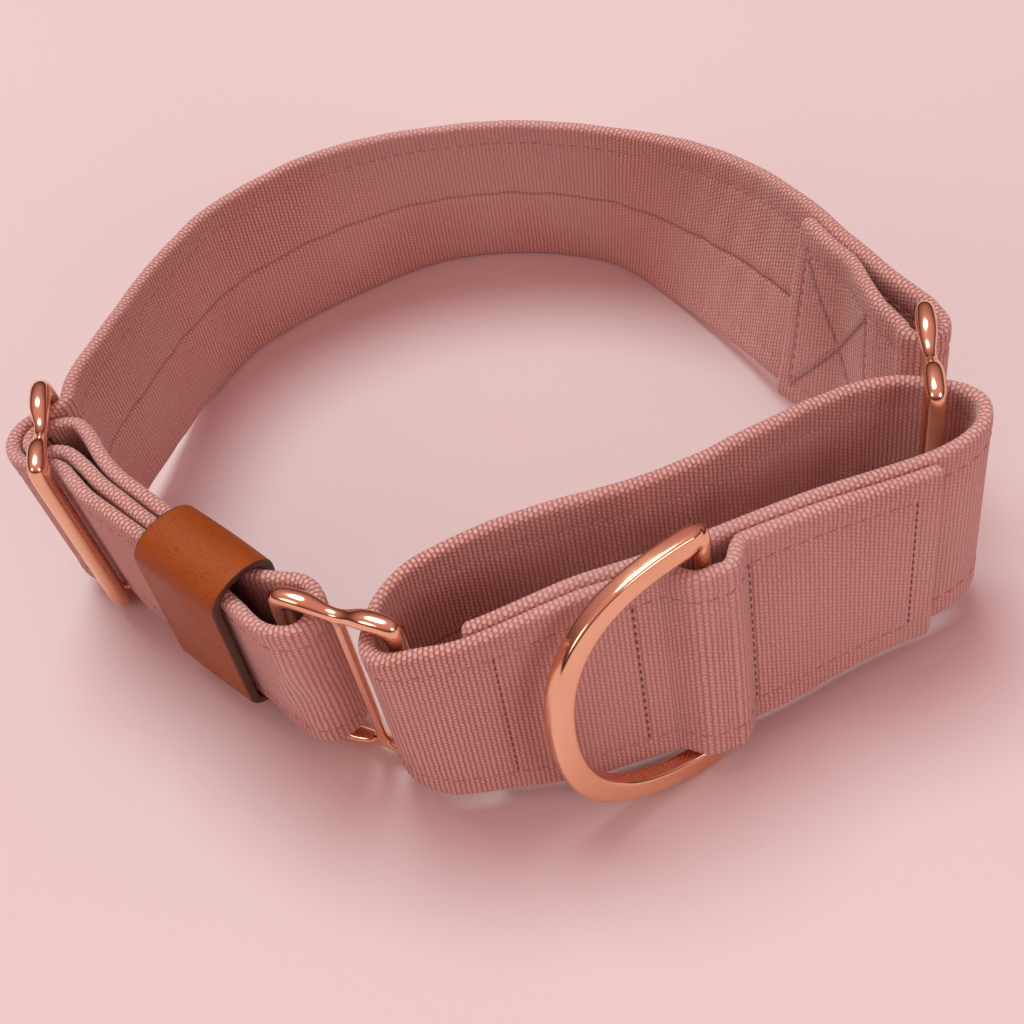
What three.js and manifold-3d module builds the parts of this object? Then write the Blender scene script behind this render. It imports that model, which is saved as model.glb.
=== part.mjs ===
// Martingale collar: a canvas neck band, a canvas control loop, three double-window
// sliders, a D-ring in a sewn tunnel and a leather keeper. Millimetres, +Z up.
// The collar stands on its lower edge. +X is the side of the loop slider, -Y the side of the D-ring.
import * as THREE from 'three';
import { mergeVertices } from 'three/addons/utils/BufferGeometryUtils.js';
import Module from 'manifold-3d';

const wasm = await Module();
wasm.setup();

// ---------- driving dimensions ----------
const STRAP_WIDTH = 38;
const STRAP_THICK = 2.1;
const LAYER_GAP = 0.3;
const LAYER_PITCH = STRAP_THICK + LAYER_GAP;
const STRAP_BASE = 4.7; // height of the lower strap edge where the metal carries it
const MID_HEIGHT = STRAP_BASE + STRAP_WIDTH / 2;

const WIRE = 3.2; // round side and end rods of a slider
const CENTRE_BAR_WIDE = 1.8;
const CENTRE_BAR_THICK = 1.7;
const SLIDER_LONG = 20.8;
const SLIDER_TALL = 46.4;
const SLIDER_WAIST = 1.5; // notch where the two windows meet
const SLIDER_CORNER = 3.4;
const WINDOW_CORNER = 1.6;
const ROD_BEVEL = 0.36 * WIRE;
const NOTCH_NARROW = 0.6;
const BAR_REACH = (SLIDER_LONG - WIRE) / 2; // centre bar axis to side bar axis

const RING_TALL = 48.4;
const RING_FACE = 3.8;
const RING_THICK = 2.8;
const RING_BAR = 2.8;
const RING_DEPTH = 27; // bar axis to the outside of the arc
const RING_HEIGHT = 24.15;
const RING_BEVEL = 0.95;
const RING_CORNER = 1.6;
const RING_HOLE_CORNER = 0.4;
const RING_CLEAR = 0.45; // free space round the bar in its tunnel

const KEEPER_LONG = 17;
const KEEPER_THICK = 1.6;
const KEEPER_PLAY = 0.7;
const KEEPER_CORNER = 4.4;
const KEEPER_HOLE_CORNER = 1.4;
const KEEPER_AT = 17.5; // middle of the keeper along the tab
const KEEPER_SKEW = 0.1; // how far the keeper's edges slant along the tab, per unit of height

const THREAD = 0.6;
const THREAD_GAP = 0.15;
const SEAM_INSET = 3.5; // end of a cross seam to the strap edge
const LOOP_SEAM_X = [-4.5, 14, 32.5, 56.5]; // left, tunnel left, tunnel right, patch end
const END_SEAM_BACK = [3, 21]; // seams in the neck band's sewn end, from its raw edge

const FACET_ERROR = 0.03; // how far a facet may stray from a strap's true curve
const TWIST_ERROR = 0.08; // and from its twist
const SPLIT_GAP = 0.6; // between two nodes of one continuous strap
const CENTRE_X = -0.28; // middle of the outer box before it is moved onto the origin
const CENTRE_Y = -2.6;

// ---------- colours ----------
const CANVAS = { color: 0xbb8580, roughness: 0.9, metalness: 0 };
const ROSE_GOLD = { color: 0xe2a183, roughness: 0.2, metalness: 1 };
const LEATHER = { color: 0x9c5420, roughness: 0.55, metalness: 0 };
const THREAD_LOOK = { color: 0x8d5358, roughness: 0.8, metalness: 0 };

// ---------- plan of the hardware, bar axes ----------
const rad = THREE.MathUtils.degToRad;
const vec = (x, y) => new THREE.Vector2(x, y);

function sliderPlan(x, y, degrees) {
  const along = vec(Math.cos(rad(degrees)), Math.sin(rad(degrees)));
  const centre = vec(x, y);
  return {
    centre,
    degrees,
    first: centre.clone().addScaledVector(along, -BAR_REACH),
    last: centre.clone().addScaledVector(along, BAR_REACH),
  };
}

// A slider's "first" bar is the one at the start of its own direction.
const ADJUSTER = sliderPlan(-64.8, -4.7, -90);
const MIDDLE = sliderPlan(-23.8, -50.4, -32);
const LOOP_SLIDER = sliderPlan(64.2, -28.2, 78.5);
const RING_AXIS = vec(25.4, -56.25);
const RING_SWING = 25; // angle of the ring's plane away from the loop, degrees
const TAB_START = vec(-56.2, -20.5); // straight stretch of the tab's outer layer
const TAB_DEGREES = -50.2;

// ---------- small geometry helpers ----------
function arc(centre, radius, fromDegrees, toDegrees, steps) {
  const points = [];
  for (let i = 0; i <= steps; i += 1) {
    const angle = rad(fromDegrees + ((toDegrees - fromDegrees) * i) / steps);
    points.push(vec(centre.x + radius * Math.cos(angle), centre.y + radius * Math.sin(angle)));
  }
  return points;
}

function smoothLine(points, samples) {
  const knots = points.map((p) => new THREE.Vector3(p.x, p.y, 0));
  const curve = new THREE.CatmullRomCurve3(knots, false, 'centripetal');
  curve.arcLengthDivisions = 2000;
  return curve.getSpacedPoints(samples).map((p) => vec(p.x, p.y));
}

function sideStep(line, i, distance) {
  const before = line[Math.max(i - 1, 0)];
  const after = line[Math.min(i + 1, line.length - 1)];
  const normal = vec(before.y - after.y, after.x - before.x).normalize();
  return line[i].clone().addScaledVector(normal, distance);
}

// The outline of a strap seen from above: one side of its centre line, then the other.
function ribbonShape(line, thickness) {
  const left = line.map((_, i) => sideStep(line, i, thickness / 2));
  const right = line.map((_, i) => sideStep(line, i, -thickness / 2));
  return new THREE.Shape([...left, ...right.reverse()]);
}

function strap(line) {
  const geometry = new THREE.ExtrudeGeometry(ribbonShape(thin(line), STRAP_THICK), {
    depth: STRAP_WIDTH,
    steps: 1,
    bevelEnabled: false,
    curveSegments: 1,
  });
  geometry.translate(0, 0, STRAP_BASE);
  return geometry;
}

function bend(geometry, move) {
  const place = geometry.getAttribute('position');
  const point = new THREE.Vector3();
  for (let i = 0; i < place.count; i += 1) {
    point.fromBufferAttribute(place, i);
    move(point);
    place.setXYZ(i, point.x, point.y, point.z);
  }
  return geometry;
}

const ramp = (value, from, to) => THREE.MathUtils.smoothstep(value, from, to);

// The collar does not stand quite upright: how far it leans along X and Y for each unit of height.
// The left front leans toward the D-ring, the loop stands nearly straight, and the neck leans in.
const TAB_LEAN = vec(0, -0.2);

function leanAt(x, y) {
  const loop = -0.04 + 0.14 * ramp(x, -12, 10) - 0.1 * ramp(x, 32, 58);
  const front = THREE.MathUtils.lerp(TAB_LEAN.y, loop, ramp(x, -26, -12));
  const back = -0.12 - 0.13 * ramp(x, -25, 5) + 0.2 * ramp(x, 30, 50);
  const tab = TAB_LEAN.x * (1 - ramp(x, -26, -12)) * (1 - ramp(y, 5, 35));
  const side = 0.14 * ramp(x, 20, 50) * ramp(y, -10, 12);
  return vec(tab + side, THREE.MathUtils.lerp(front, back, ramp(y, 0, 50)));
}

function shear(point, lean) {
  const above = point.z - MID_HEIGHT;
  point.x += lean.x * above;
  point.y += lean.y * above;
}

// Straps lean with their place; the back of the neck band also rests lower.
function settle(point) {
  const drop = STRAP_BASE * ramp(point.y, 6, 42);
  shear(point, leanAt(point.x, point.y));
  point.z -= drop;
  return point;
}

// Drops the points that a strap's two edges, as it finally stands, do not need. A facet pair whose
// two ends lean differently also strays from the twisted face between them.
function thin(line) {
  const edge = (p, z) => settle(new THREE.Vector3(p.x, p.y, z));
  const edges = line.map((p) => [edge(p, STRAP_BASE), edge(p, STRAP_BASE + STRAP_WIDTH)]);
  const rise = (i) => edges[i][1].clone().sub(edges[i][0]);
  const twist = (from, to) => rise(from).distanceTo(rise(to)) / 4;
  const away = (i, from, to, side) => {
    const chord = new THREE.Line3(edges[from][side], edges[to][side]);
    const nearest = chord.closestPointToPoint(edges[i][side], true, new THREE.Vector3());
    return nearest.distanceTo(edges[i][side]);
  };
  const kept = (from, to) => {
    let worst = FACET_ERROR;
    let split = 0;
    for (let i = from + 1; i < to; i += 1) {
      const error = Math.max(away(i, from, to, 0), away(i, from, to, 1));
      if (error > worst) [worst, split] = [error, i];
    }
    if (!split && to > from + 1 && twist(from, to) > TWIST_ERROR) split = (from + to) >> 1;
    return split ? [...kept(from, split), ...kept(split, to)] : [line[from]];
  };
  return [...kept(0, line.length - 1), line[line.length - 1]];
}

function toManifold(geometry) {
  const plain = new THREE.BufferGeometry();
  plain.setAttribute('position', geometry.getAttribute('position'));
  if (geometry.index) plain.setIndex(geometry.index);
  const merged = mergeVertices(plain, 1e-4);
  return new wasm.Manifold(new wasm.Mesh({
    numProp: 3,
    vertProperties: new Float32Array(merged.getAttribute('position').array),
    triVerts: new Uint32Array(merged.index.array),
  }));
}

function toGeometry(solid) {
  const mesh = solid.getMesh();
  const geometry = new THREE.BufferGeometry();
  geometry.setAttribute('position', new THREE.BufferAttribute(mesh.vertProperties, 3));
  geometry.setIndex(new THREE.BufferAttribute(mesh.triVerts, 1));
  return geometry;
}

// ---------- the assembly ----------
const collar = new THREE.Group();
collar.position.set(-CENTRE_X, -CENTRE_Y, 0);

function add(name, geometry, look) {
  const mesh = new THREE.Mesh(geometry, new THREE.MeshStandardMaterial(look));
  mesh.name = name;
  collar.add(mesh);
}

// ---------- canvas straps ----------
const CLEAR = 0.35;
const BAR_WRAP = WIRE / 2 + CLEAR + STRAP_THICK / 2; // centre line of a strap round a side bar
const INNER_WRAP = CENTRE_BAR_WIDE / 2 + 0.6 + STRAP_THICK / 2; // strap end round the centre bar
const OUTER_WRAP = INNER_WRAP + LAYER_PITCH + 0.15; // running strap over that end
const LOOSE_WRAP = 4.6; // strap folds round the middle slider's side bars
const FOLD_CENTRE = MIDDLE.first.clone().add(vec(0.3, 0.8));
const LOOP_FOLD_CENTRE = MIDDLE.last.clone().add(vec(0.5, 0));
const TAB_PITCH = LAYER_PITCH + 0.1;
const BOX_LONG = 27; // sewn-down end of the neck band

// A point beside the tab's straight stretch: along it, and in from the outer layer's centre line.
function tabPoint(along, inward) {
  const a = rad(TAB_DEGREES);
  return vec(
    TAB_START.x + along * Math.cos(a) - inward * Math.sin(a),
    TAB_START.y + along * Math.sin(a) + inward * Math.cos(a),
  );
}

// A second layer beside part of a line, from its last point back for a given length.
function layerBack(line, length, distance) {
  const layer = [];
  let travelled = 0;
  for (let i = line.length - 1; i > 0 && travelled < length; i -= 1) {
    layer.push(sideStep(line, i, distance(travelled)));
    travelled += line[i].distanceTo(line[i - 1]);
  }
  return layer;
}

// The main strap, from its sewn-down end in the tab: round the adjuster's centre bar, along the
// tab and round the middle slider, back through the adjuster, and round the neck to the loop
// slider, whose bar its other end folds round.
const TAIL = [
  tabPoint(16, TAB_PITCH), tabPoint(11, TAB_PITCH), tabPoint(6, TAB_PITCH),
  tabPoint(1.5, TAB_PITCH + 0.2), vec(-56.5, -15.6), vec(-58.9, -11.7), vec(-61.8, -8.1),
];
const TAB_INNER = [
  vec(-61.9, -2.1), vec(-60.1, -2.7), vec(-58.5, -5.1), vec(-56.6, -9.9), vec(-54.3, -14.2),
  tabPoint(3, 2 * TAB_PITCH + 0.2), tabPoint(10, 2 * TAB_PITCH), tabPoint(17, 2 * TAB_PITCH),
  tabPoint(23, 2 * TAB_PITCH - 0.1), tabPoint(27, 2 * TAB_PITCH - 0.2),
];
const TAB_OUTER = [
  tabPoint(26, 0), tabPoint(19, 0), tabPoint(12, 0), tabPoint(6, 0), tabPoint(1.5, 0),
  vec(-58.6, -17.5), vec(-60.7, -14.0), vec(-62.7, -10.9),
];
const NECK_RUN = [
  vec(-61.3, 6.3), vec(-60.1, 9.6), vec(-57.6, 14.8), vec(-54.1, 23), vec(-49.3, 33.5),
  vec(-40.7, 44.6), vec(-31.8, 50.3), vec(-21.5, 54.7), vec(-4.4, 58.1), vec(13.5, 56),
  vec(28.7, 49.4), vec(35.7, 43.9), vec(42.1, 36.2), vec(49.3, 23.2), vec(54, 11.6),
  vec(58, 3), vec(61.6, -3), vec(64.9, -9.4), vec(67.9, -15.3),
];
const BEND_LINE = vec(-60.1, 9.6); // where the neck band flexes beside the adjuster
const MIN_STEP = 0.05; // shortest last step of a split line

function mainStrapLine() {
  const round = arc(ADJUSTER.centre, INNER_WRAP, 270, 90, 9);
  const fold = arc(FOLD_CENTRE, LOOSE_WRAP, 80, -145, 12);
  const over = arc(ADJUSTER.centre, OUTER_WRAP, 268, 92, 11);
  const under = arc(ADJUSTER.first, BAR_WRAP + 0.1, -78, 0, 5);
  const tab = [...TAIL, ...round, ...TAB_INNER, ...fold, ...TAB_OUTER];
  return smoothLine([...tab, ...over, ...under, ...NECK_RUN], 310);
}

// One continuous strap as two nodes: its line up to the point nearest to a place, less a small
// gap, and its line from there on.
function splitLine(line, place) {
  const distances = line.map((p) => p.distanceTo(place));
  const at = distances.indexOf(Math.min(...distances));
  const before = line.slice(0, at);
  const towards = line[at].clone().sub(before[at - 1]);
  const step = Math.max(towards.length() - SPLIT_GAP, MIN_STEP);
  before.push(before[at - 1].clone().addScaledVector(towards.normalize(), step));
  return [before, line.slice(at)];
}

function neckLine() {
  const run = splitLine(mainStrapLine(), BEND_LINE)[1];
  const bar = LOOP_SLIDER.last;
  const fold = arc(bar, BAR_WRAP, LOOP_SLIDER.degrees - 80, LOOP_SLIDER.degrees - 262, 11);
  const open = 2 * BAR_WRAP - LAYER_PITCH;
  const spread = (back) => -LAYER_PITCH - open * (1 - ramp(back, 0, 16));
  const inside = layerBack(run, BOX_LONG, spread).slice(3);
  return smoothLine([...run, ...fold, ...inside], 150);
}

function adjusterLine() {
  return splitLine(mainStrapLine(), BEND_LINE)[0];
}

// The control loop's inner layer, from under the outer one's start round the wide turn, and its
// far layer through the loop slider's window to the middle slider. The outer layer lies on it.
const LOOP_INNER = [
  vec(-7.8, -58.1), vec(-2.4, -57.6), vec(3.5, -56.9), vec(10, -55.9), vec(17, -54.9),
  vec(24, -53.4), vec(30, -52.1), vec(36, -50.6), vec(44, -48.3), vec(52, -46.4),
  vec(60, -44.8),
];
const LOOP_FAR = [
  vec(65, -42.9), vec(68.4, -40), vec(69.3, -36.6), vec(67.4, -33.7), vec(63.5, -31.5),
  vec(59, -29.8), vec(54.2, -29.7), vec(48, -31.3), vec(38.7, -35.2), vec(28, -39.2),
  vec(17.6, -41.4), vec(6, -42.3), vec(-3, -42.6), vec(-9.5, -43.9), vec(-14.7, -46.2),
  vec(-18.4, -49.4),
];
const INNER_SPLIT = vec(57, -45.4); // under the end of the outer layer
const TURN_SPLIT = vec(63.5, -31.5); // beside the loop slider's front bar
const FOLD_SPLIT = vec(-16.5, -47.8); // inside the middle slider's window
const TUNNEL_LEFT = 7.5; // D-ring axis to the tunnel's two seams, along X
const TUNNEL_RIGHT = 6;
const RING_ROOM = RING_BAR / 2 + RING_CLEAR; // free radius round the D-ring's bar

function innerRun() {
  return smoothLine(LOOP_INNER, 70);
}

// Room for the D-ring's bar: the outer layer rises over it between the two tunnel seams.
function tunnelRise(point) {
  const away = point.x - RING_AXIS.x;
  const swell = ramp(away, -TUNNEL_LEFT, -RING_ROOM) * (1 - ramp(away, RING_ROOM, TUNNEL_RIGHT));
  return (2 * RING_ROOM + STRAP_THICK - LAYER_PITCH) * swell;
}

function outerRun() {
  const inner = innerRun();
  return inner.map((p, i) => sideStep(inner, i, -LAYER_PITCH - tunnelRise(p)));
}

function loopLine() {
  const fold = arc(LOOP_FOLD_CENTRE, LOOSE_WRAP, 150, 255, 8);
  const start = vec(-12.8, -60.4);
  return smoothLine([...innerRun(), ...LOOP_FAR, ...fold, start, ...outerRun()], 260);
}

// The loop's stretches: its inner layer, its wide turn, its far layer, and the fold round the
// middle slider with the outer layer.
function loopStretches() {
  const [inner, most] = splitLine(loopLine(), INNER_SPLIT);
  const [turn, rest] = splitLine(most, TURN_SPLIT);
  return [inner, turn, ...splitLine(rest, FOLD_SPLIT)];
}

// ---------- seams ----------
// A raised line of thread across a strap, just clear of the face on the given side of its line.
function seam(line, i, side) {
  const offset = side * (STRAP_THICK / 2 + THREAD_GAP + THREAD / 2);
  const middle = sideStep(line, i, offset);
  const along = line[i + 1].clone().sub(line[i - 1]).setLength(THREAD / 2);
  const ends = [middle.clone().sub(along), middle, middle.clone().add(along)];
  const geometry = new THREE.ExtrudeGeometry(ribbonShape(ends, THREAD), {
    depth: STRAP_WIDTH - 2 * SEAM_INSET,
    bevelEnabled: false,
  });
  return geometry.translate(0, 0, STRAP_BASE + SEAM_INSET);
}

function loopSeam(x) {
  const line = outerRun();
  return seam(line, line.findIndex((p) => p.x > x), -1);
}

function endSeam(back) {
  const line = neckLine();
  let i = line.length - 1;
  for (let travelled = 0; travelled < back; i -= 1) {
    travelled += line[i].distanceTo(line[i - 1]);
  }
  return seam(line, i, 1);
}

// ---------- sliders ----------
function roundedPanel(wide, tall, radius) {
  const x = wide / 2;
  const y = tall / 2;
  const shape = new THREE.Shape();
  shape.moveTo(-x + radius, -y);
  shape.lineTo(x - radius, -y);
  shape.absarc(x - radius, -y + radius, radius, -Math.PI / 2, 0, false);
  shape.lineTo(x, y - radius);
  shape.absarc(x - radius, y - radius, radius, 0, Math.PI / 2, false);
  shape.lineTo(-x + radius, y);
  shape.absarc(-x + radius, y - radius, radius, Math.PI / 2, Math.PI, false);
  shape.lineTo(-x, -y + radius);
  shape.absarc(-x + radius, -y + radius, radius, Math.PI, 1.5 * Math.PI, false);
  return shape;
}

// A rounded rectangle of wire, its profile softened by a bevel.
function windowRod(wide, tall) {
  const bevel = ROD_BEVEL;
  const outer = roundedPanel(wide - 2 * bevel, tall - 2 * bevel, SLIDER_CORNER - bevel);
  const inside = WIRE - bevel;
  const hole = roundedPanel(wide - 2 * inside, tall - 2 * inside, WINDOW_CORNER);
  outer.holes.push(new THREE.Path(hole.getPoints(5).reverse()));
  const geometry = new THREE.ExtrudeGeometry(outer, {
    depth: WIRE - 2 * bevel,
    bevelThickness: bevel,
    bevelSize: bevel,
    bevelSegments: 2,
    curveSegments: 5,
  });
  return geometry.translate(0, 0, bevel - WIRE / 2);
}

// The rod round both windows, the flat bar between them, and a notch at each end of the bar.
function sliderSolid() {
  const bar = new THREE.BoxGeometry(CENTRE_BAR_WIDE, SLIDER_TALL - WIRE, CENTRE_BAR_THICK);
  let solid = toManifold(windowRod(SLIDER_LONG, SLIDER_TALL)).add(toManifold(bar));
  const radius = SLIDER_LONG / 4;
  for (const end of [-1, 1]) {
    const notch = new THREE.CylinderGeometry(radius, radius, 2 * WIRE, 24);
    notch.rotateX(Math.PI / 2);
    notch.scale(NOTCH_NARROW, 1, 1);
    notch.translate(0, end * (SLIDER_TALL / 2 + radius - SLIDER_WAIST), 0);
    solid = solid.subtract(toManifold(notch));
  }
  return toGeometry(solid);
}

// A slider is rigid, so all of it leans as the strap does at one place.
function slider(plan, lean) {
  const geometry = sliderSolid();
  geometry.rotateX(Math.PI / 2);
  geometry.rotateZ(rad(plan.degrees));
  geometry.translate(plan.centre.x, plan.centre.y, MID_HEIGHT);
  return bend(geometry, (point) => shear(point, lean));
}

// ---------- D-ring ----------
function halfMoon(depth, halfTall, back, corner) {
  const shape = new THREE.Shape();
  shape.moveTo(back, -halfTall + corner);
  shape.lineTo(back, halfTall - corner);
  shape.quadraticCurveTo(back, halfTall, back - corner, halfTall);
  const reach = halfTall * 0.56;
  shape.bezierCurveTo(-depth * 0.78, halfTall, -depth, reach, -depth, 0);
  shape.bezierCurveTo(-depth, -reach, -depth * 0.78, -halfTall, back - corner, -halfTall);
  shape.quadraticCurveTo(back, -halfTall, back, -halfTall + corner);
  return shape;
}

function ringSolid() {
  const bevel = RING_BEVEL;
  const inset = RING_FACE - bevel;
  const back = RING_BAR / 2 - bevel;
  const outer = halfMoon(RING_DEPTH - bevel, RING_TALL / 2 - bevel, back, RING_CORNER);
  const hole = halfMoon(RING_DEPTH - inset, RING_TALL / 2 - inset, -back, RING_HOLE_CORNER);
  outer.holes.push(new THREE.Path(hole.getPoints(10).reverse()));
  const geometry = new THREE.ExtrudeGeometry(outer, {
    depth: RING_THICK - 2 * bevel,
    bevelThickness: bevel,
    bevelSize: bevel,
    bevelSegments: 2,
    curveSegments: 10,
  });
  return geometry.translate(0, 0, bevel - RING_THICK / 2);
}

function ringGeometry() {
  const geometry = ringSolid();
  geometry.rotateX(Math.PI / 2);
  geometry.rotateZ(rad(RING_SWING));
  geometry.rotateX(-Math.atan(leanAt(RING_AXIS.x, RING_AXIS.y).y));
  return geometry.translate(RING_AXIS.x, RING_AXIS.y, RING_HEIGHT);
}

// ---------- leather keeper ----------
function keeper() {
  const layers = 3 * STRAP_THICK + 2 * (TAB_PITCH - STRAP_THICK);
  const wide = layers + 2 * KEEPER_PLAY;
  const tall = STRAP_WIDTH + 2 * KEEPER_PLAY;
  const outer = roundedPanel(wide + 2 * KEEPER_THICK, tall + 2 * KEEPER_THICK, KEEPER_CORNER);
  const hole = roundedPanel(wide, tall, KEEPER_HOLE_CORNER);
  outer.holes.push(new THREE.Path(hole.getPoints(5).reverse()));
  const options = { depth: KEEPER_LONG, bevelEnabled: false, curveSegments: 5 };
  const geometry = new THREE.ExtrudeGeometry(outer, options);
  geometry.translate(0, 0, -KEEPER_LONG / 2);
  geometry.rotateX(Math.PI / 2);
  geometry.rotateZ(rad(TAB_DEGREES + 90));
  const middle = tabPoint(KEEPER_AT, TAB_PITCH);
  geometry.translate(middle.x, middle.y, MID_HEIGHT);
  const skew = tabPoint(KEEPER_SKEW, 0).sub(tabPoint(0, 0));
  return bend(geometry, (point) => shear(point, skew));
}

// ---------- build ----------
const standing = (geometry) => bend(geometry, settle);
add('neck_band', standing(strap(neckLine())), CANVAS);
add('adjuster_strap', standing(strap(adjusterLine())), CANVAS);
const [innerLayer, wideTurn, farLayer, outerLayer] = loopStretches();
add('loop_inner_layer', standing(strap(innerLayer)), CANVAS);
add('loop_wide_turn', standing(strap(wideTurn)), CANVAS);
add('loop_far_layer', standing(strap(farLayer)), CANVAS);
add('loop_outer_layer', standing(strap(outerLayer)), CANVAS);
add('adjuster_slider', slider(ADJUSTER, TAB_LEAN), ROSE_GOLD);
add('middle_slider', slider(MIDDLE, vec(0, -0.16)), ROSE_GOLD);
add('loop_slider', slider(LOOP_SLIDER, vec(0, 0)), ROSE_GOLD);
add('d_ring', ringGeometry(), ROSE_GOLD);
add('leather_keeper', standing(keeper()), LEATHER);
add('loop_left_seam', standing(loopSeam(LOOP_SEAM_X[0])), THREAD_LOOK);
add('tunnel_left_seam', standing(loopSeam(LOOP_SEAM_X[1])), THREAD_LOOK);
add('tunnel_right_seam', standing(loopSeam(LOOP_SEAM_X[2])), THREAD_LOOK);
add('patch_end_seam', standing(loopSeam(LOOP_SEAM_X[3])), THREAD_LOOK);
add('band_end_seam', standing(endSeam(END_SEAM_BACK[0])), THREAD_LOOK);
add('band_fold_seam', standing(endSeam(END_SEAM_BACK[1])), THREAD_LOOK);

export default collar;
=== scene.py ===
"""Martingale collar: ribbed canvas straps with sewn seams, rose-gold sliders and D-ring, and
a leather keeper. The straps follow the CAD part's plan lines. Lengths are in millimetres."""

import math

import bmesh
import bpy
import numpy as np
from mathutils import Matrix, Vector


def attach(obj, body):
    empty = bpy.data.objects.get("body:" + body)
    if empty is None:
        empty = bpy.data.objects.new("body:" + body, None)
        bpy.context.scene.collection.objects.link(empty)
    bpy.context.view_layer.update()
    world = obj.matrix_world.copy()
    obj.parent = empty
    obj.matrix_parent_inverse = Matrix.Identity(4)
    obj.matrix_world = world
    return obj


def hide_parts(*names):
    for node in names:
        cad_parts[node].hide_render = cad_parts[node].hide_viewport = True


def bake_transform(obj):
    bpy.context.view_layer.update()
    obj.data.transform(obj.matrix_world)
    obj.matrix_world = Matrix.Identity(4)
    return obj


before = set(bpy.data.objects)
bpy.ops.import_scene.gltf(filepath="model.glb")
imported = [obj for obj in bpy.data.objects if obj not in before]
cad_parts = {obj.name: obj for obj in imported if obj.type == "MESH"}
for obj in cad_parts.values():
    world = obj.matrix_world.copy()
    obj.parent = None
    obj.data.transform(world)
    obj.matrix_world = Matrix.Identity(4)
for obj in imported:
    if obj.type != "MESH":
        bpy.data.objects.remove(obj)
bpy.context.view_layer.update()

MM = 0.001

# ---------- camera ----------
CAMERA_AT = (2.09, -194.79, 226.1)
SENSOR_WIDE = 36
NEAR_CLIP = 0.01
CAMERA_DIP = math.radians(49.5)
CAMERA_ROLL = math.radians(-11)
CAMERA_LENS = 61.52


def add_camera():
    forward = Vector((0, math.cos(CAMERA_DIP), -math.sin(CAMERA_DIP)))
    right0 = Vector((1, 0, 0))
    up0 = Vector((0, math.sin(CAMERA_DIP), math.cos(CAMERA_DIP)))
    right = math.cos(CAMERA_ROLL) * right0 + math.sin(CAMERA_ROLL) * up0
    up = -math.sin(CAMERA_ROLL) * right0 + math.cos(CAMERA_ROLL) * up0
    data = bpy.data.cameras.new("camera")
    data.lens = CAMERA_LENS
    data.sensor_width = SENSOR_WIDE
    data.clip_start = NEAR_CLIP
    camera = bpy.data.objects.new("camera", data)
    turn = Matrix((right, up, -forward)).transposed().to_4x4()
    camera.matrix_world = Matrix.Translation(Vector(CAMERA_AT) * MM) @ turn
    bpy.context.scene.collection.objects.link(camera)
    bpy.context.scene.camera = camera


add_camera()

# ---------- driving dimensions, as in the CAD part ----------
STRAP_WIDTH = 38.0
STRAP_THICK = 2.1
LAYER_PITCH = 2.4
STRAP_BASE = 4.7
MID_HEIGHT = STRAP_BASE + STRAP_WIDTH / 2
WIRE = 3.2
CENTRE_BAR_WIDE = 1.8
CENTRE_BAR_THICK = 1.7
SLIDER_LONG = 20.8
SLIDER_TALL = 46.4
SLIDER_WAIST = 1.5
BAR_REACH = (SLIDER_LONG - WIRE) / 2
RING_TALL = 48.4
RING_FACE = 3.8
RING_THICK = 2.8
RING_BAR = 2.8
RING_DEPTH = 27.0
RING_HEIGHT = 24.15
KEEPER_LONG = 17.0
KEEPER_THICK = 1.6
KEEPER_PLAY = 0.7
KEEPER_AT = 17.5
KEEPER_SKEW = 0.1
KEEPER_ROUND = 4.85  # corner of the middle of the leather
KEEPER_ARCH = 0.8  # its rise above a flat top
CLEAR = 0.35
BAR_WRAP = WIRE / 2 + CLEAR + STRAP_THICK / 2
INNER_WRAP = CENTRE_BAR_WIDE / 2 + 0.6 + STRAP_THICK / 2
OUTER_WRAP = INNER_WRAP + LAYER_PITCH + 0.15
LOOSE_WRAP = 4.6
TAB_PITCH = LAYER_PITCH + 0.1
BOX_LONG = 27.0
TUNNEL_LEFT = 7.0
TUNNEL_RIGHT = 5.4
RING_ROOM = RING_BAR / 2 + 0.45
SEAM_X = (-4.5, 15.0, 31.5, 56.5)
END_SEAM_BACK = (3.0, 21.0)
CENTRE = np.array([0.28, 2.6])
TAB_START = np.array([-56.2, -20.5])
TAB_DEGREES = -50.2
RING_AXIS = np.array([25.4, -56.25])
RING_SWING = 25.0
RING_LEAN = 0.10
TAB_LEAN = -0.2
MIDDLE_LEAN = -0.16


def heading(degrees):
    return np.array([math.cos(math.radians(degrees)), math.sin(math.radians(degrees))])


def slider_plan(x, y, degrees):
    centre = np.array([x, y])
    step = BAR_REACH * heading(degrees)
    return {"centre": centre, "degrees": degrees, "first": centre - step, "last": centre + step}


ADJUSTER = slider_plan(-64.8, -4.7, -90)
MIDDLE = slider_plan(-23.8, -50.4, -32)
LOOP_SLIDER = slider_plan(64.2, -28.2, 78.5)
FOLD_CENTRE = MIDDLE["first"] + (0.3, 0.8)
LOOP_FOLD_CENTRE = MIDDLE["last"] + (0.5, 0)
FOLD_END = -145  # where the tab's fold round the middle slider ends, in degrees


# ---------- plan lines ----------
def arc(centre, radius, start, end, steps):
    angles = np.radians(start + (end - start) * np.arange(steps + 1) / steps)
    return centre + radius * np.stack([np.cos(angles), np.sin(angles)], 1)


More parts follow.
